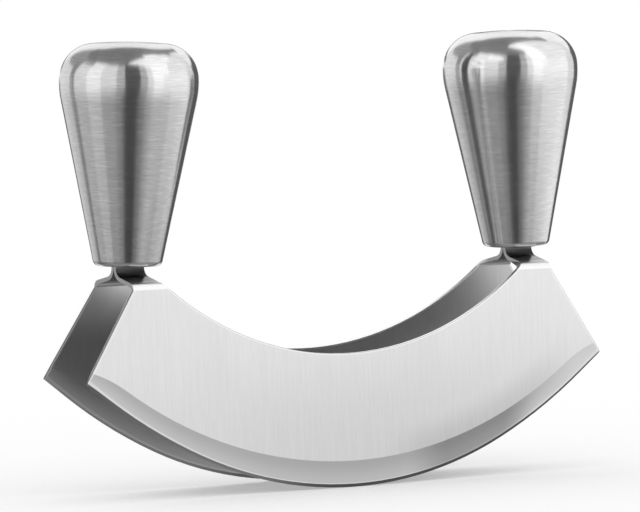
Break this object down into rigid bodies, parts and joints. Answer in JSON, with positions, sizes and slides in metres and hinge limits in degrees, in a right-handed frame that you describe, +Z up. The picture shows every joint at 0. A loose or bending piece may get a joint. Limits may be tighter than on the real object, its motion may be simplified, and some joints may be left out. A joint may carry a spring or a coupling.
{
  "type": "mezzaluna",
  "caption": "Rocking herb knife with a pair of crescent steel blades, bent shoulders and tapered upright steel handles at both ends.",
  "frame": {"origin": "midway between the blades, under the middle of the tool, at the height of the lowest point of both cutting edges", "axes": "+X along the blades from the left handle to the right one, +Y from the front blade to the rear one, +Z up through the handles"},
  "size_m": [0.15, 0.0342, 0.1116],
  "materials": {
    "blade_steel": "finely ground across the blade, with a satin bevel and a sharpened edge",
    "handle_steel": "satin, brushed round the handle",
    "core_plastic": "as moulded, hidden inside",
    "pin_steel": "drawn wire, hidden inside"
  },
  "bodies": {
    "root": {"blade_front": "blade_steel", "blade_rear": "blade_steel", "handle_shell_left": "handle_steel", "handle_shell_right": "handle_steel", "handle_base_left": "handle_steel", "handle_base_right": "handle_steel", "handle_core_left": "core_plastic", "handle_core_right": "core_plastic", "tang_pins_left": "pin_steel", "tang_pins_right": "pin_steel"}
  },
  "joints": []
}
